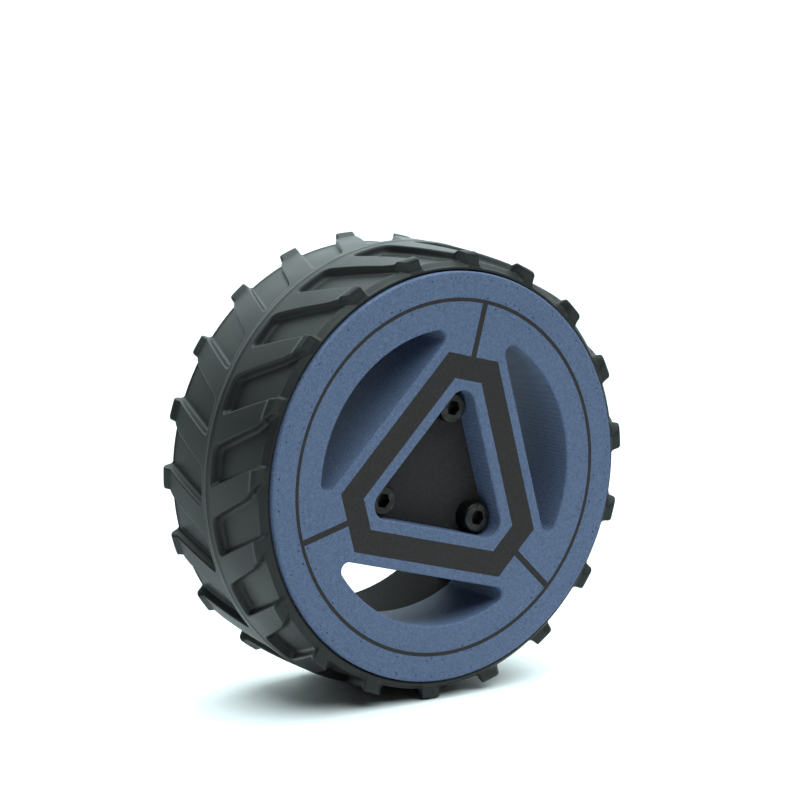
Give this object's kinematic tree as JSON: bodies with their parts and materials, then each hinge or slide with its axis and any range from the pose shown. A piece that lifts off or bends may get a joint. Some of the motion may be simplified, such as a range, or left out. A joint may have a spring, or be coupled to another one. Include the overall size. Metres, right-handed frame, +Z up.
{
  "type": "wheel",
  "caption": "Robot wheel: treaded rubber tyre on a split plastic rim with windows, clamped to a flanged drive hub.",
  "frame": {"origin": "centre of the rim on the axle line, in the plane where the rim halves meet", "axes": "+Y along the axle, away from the blue face towards the motor side; +Z up; the face looks to -Y"},
  "size_m": [0.0822, 0.035, 0.0822],
  "materials": {
    "tyre_rubber": "dark grey moulded rubber, semi-matte",
    "insert_foam": "soft open-cell foam",
    "blue_plastic": "printed slate-blue plastic with fine diagonal layer lines",
    "black_plastic": "printed black plastic",
    "hub_metal": "turned aluminium",
    "black_steel": "black oxide steel"
  },
  "bodies": {
    "root": {"tyre": "tyre_rubber", "foam_insert": "insert_foam", "front_rim": "blue_plastic", "face_inlay": "black_plastic", "clamp_plate": "black_plastic", "rear_rim": "black_plastic", "drive_hub": "hub_metal", "clamp_screw_1": "black_steel", "clamp_screw_2": "black_steel", "clamp_screw_3": "black_steel", "grub_screw_1": "black_steel", "grub_screw_2": "black_steel"}
  },
  "joints": []
}
